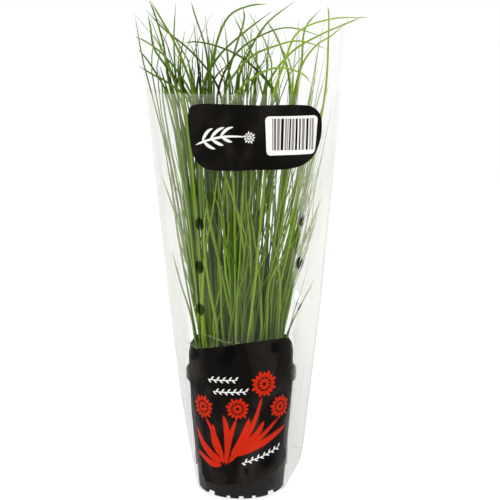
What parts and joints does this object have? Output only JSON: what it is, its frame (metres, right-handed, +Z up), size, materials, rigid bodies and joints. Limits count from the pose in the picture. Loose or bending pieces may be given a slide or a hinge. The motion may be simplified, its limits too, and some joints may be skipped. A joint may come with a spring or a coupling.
{
  "type": "potted chive plant in a film sleeve",
  "caption": "Clump of tubular chive leaves growing in a round nursery pot of soil, held upright by a tapered clear film sleeve with a low front panel and a tall back panel.",
  "frame": {"origin": "on the pot's axis, at the underside of the sleeve's floor, which rests on the surface", "axes": "+Z up along the pot's axis, -Y towards the sleeve's low front panel, +X to the right seen from the front"},
  "size_m": [0.199, 0.1028, 0.4382],
  "materials": {
    "film": "clear film with a soft haze",
    "pot_plastic": "satin black",
    "soil": "moist crumbly soil",
    "leaf": "smooth waxy leaf",
    "print_black": "black ink under film gloss",
    "print_white": "white ink under film gloss",
    "print_red": "red ink under film gloss"
  },
  "bodies": {
    "root": {"sleeve": "film", "pot": "pot_plastic", "soil": "soil", "tuft_1": "leaf", "tuft_2": "leaf", "tuft_3": "leaf", "tuft_4": "leaf", "tuft_5": "leaf", "tuft_6": "leaf", "tuft_7": "leaf"}
  },
  "joints": []
}
